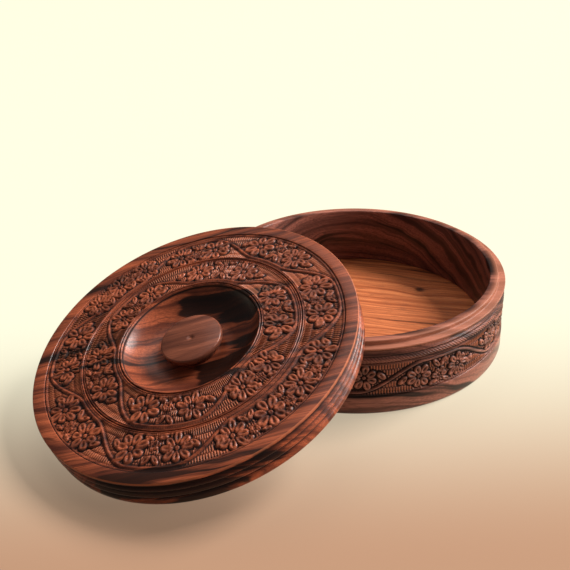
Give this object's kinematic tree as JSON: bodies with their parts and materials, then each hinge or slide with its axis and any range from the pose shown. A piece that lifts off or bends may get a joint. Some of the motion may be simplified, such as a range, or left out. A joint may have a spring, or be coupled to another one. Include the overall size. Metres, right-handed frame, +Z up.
{
  "type": "lidded box",
  "caption": "Round turned wooden box with carved floral bands; its dished, knobbed lid is off and leans on the rim. Holds small things.",
  "frame": {"origin": "centre of the box's flat underside, on the surface that it stands on", "axes": "+Z up along the box's turning axis; the lid leans on the -X side of the rim, in the XZ plane"},
  "size_m": [0.3301, 0.2, 0.0847],
  "materials": {
    "wall_rosewood": "oiled and polished, carved outside",
    "floor_rosewood": "smooth, straight grain",
    "lid_rosewood": "oiled and polished, carved in two bands",
    "knob_rosewood": "oiled and polished"
  },
  "bodies": {
    "box": {"box_wall": "wall_rosewood", "floor_board": "floor_rosewood"},
    "lid": {"lid_board": "lid_rosewood", "lid_knob": "knob_rosewood"}
  },
  "joints": [
    {"name": "lid_lift", "type": "slide", "parent": "box", "child": "lid", "axis": [0, 0, 1], "range_m": [0, 0.15]}
  ]
}
